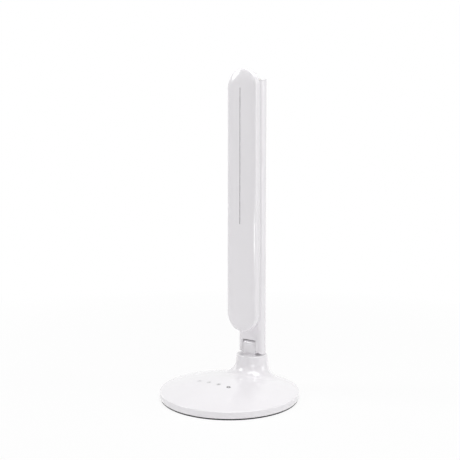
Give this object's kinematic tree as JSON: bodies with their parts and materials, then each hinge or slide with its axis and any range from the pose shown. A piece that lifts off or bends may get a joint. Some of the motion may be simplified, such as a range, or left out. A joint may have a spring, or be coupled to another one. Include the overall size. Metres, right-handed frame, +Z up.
{
  "type": "folding desk lamp",
  "caption": "Folding desk lamp with a round weighted base, a tilting arm and a slim light head with vent slots that folds down against the arm.",
  "frame": {"origin": "centre of the round base's underside, on the table", "axes": "+Z up, -Y is the front with the touch keys and the folded head, +X to the lamp's right as seen from the front"},
  "size_m": [0.175, 0.175, 0.4134],
  "materials": {
    "gloss_white": "smooth moulded gloss white",
    "pad_rubber": "matte black rubber",
    "plate_steel": "zinc plated sheet",
    "ballast_iron": "raw casting",
    "screw_steel": "plated screw",
    "board_green": "solder mask",
    "ribbon_amber": "flat flexible cable",
    "socket_steel": "plated socket shell",
    "wire_white": "soft wire jacket",
    "spring_steel": "spring steel",
    "pin_steel": "ground steel",
    "washer_nylon": "natural nylon",
    "heat_aluminium": "plain rolled aluminium",
    "led_board_white": "white board coating on aluminium",
    "led_phosphor": "phosphor over the chip",
    "reflector_white": "satin white",
    "diffuser_opal": "opal, satin"
  },
  "bodies": {
    "base": {"foot_pad": "pad_rubber", "base_plate": "plate_steel", "ballast_weight": "ballast_iron", "base_cover": "gloss_white", "base_screws": "screw_steel", "touch_board": "board_green", "touch_ribbon": "ribbon_amber", "control_board": "board_green", "power_inlet": "socket_steel", "base_wire": "wire_white", "tilt_knuckle": "gloss_white", "knuckle_screws": "screw_steel", "tilt_friction_sleeve": "spring_steel"},
    "arm": {"tilt_pin": "pin_steel", "tilt_washers": "washer_nylon", "arm_front_shell": "gloss_white", "arm_rear_shell": "gloss_white", "arm_spine": "plate_steel", "arm_wire": "wire_white", "arm_screws": "screw_steel", "head_pin": "pin_steel", "head_washers": "washer_nylon"},
    "head": {"head_knuckle": "gloss_white", "head_knuckle_screws": "screw_steel", "head_friction_sleeve": "spring_steel", "head_frame": "gloss_white", "head_cover": "gloss_white", "heat_plate": "heat_aluminium", "led_board": "led_board_white", "leds": "led_phosphor", "reflector": "reflector_white", "diffuser": "diffuser_opal", "head_screws": "screw_steel", "head_wire": "wire_white"}
  },
  "joints": [
    {"name": "arm_tilt", "type": "hinge", "parent": "base", "child": "arm", "pos_m": [0, 0.05, 0.05506], "axis": [1, 0, 0], "range_deg": [-20, 90]},
    {"name": "head_fold", "type": "hinge", "parent": "arm", "child": "head", "pos_m": [0, 0.05, 0.39536], "axis": [-1, 0, 0], "range_deg": [0, 150]}
  ]
}
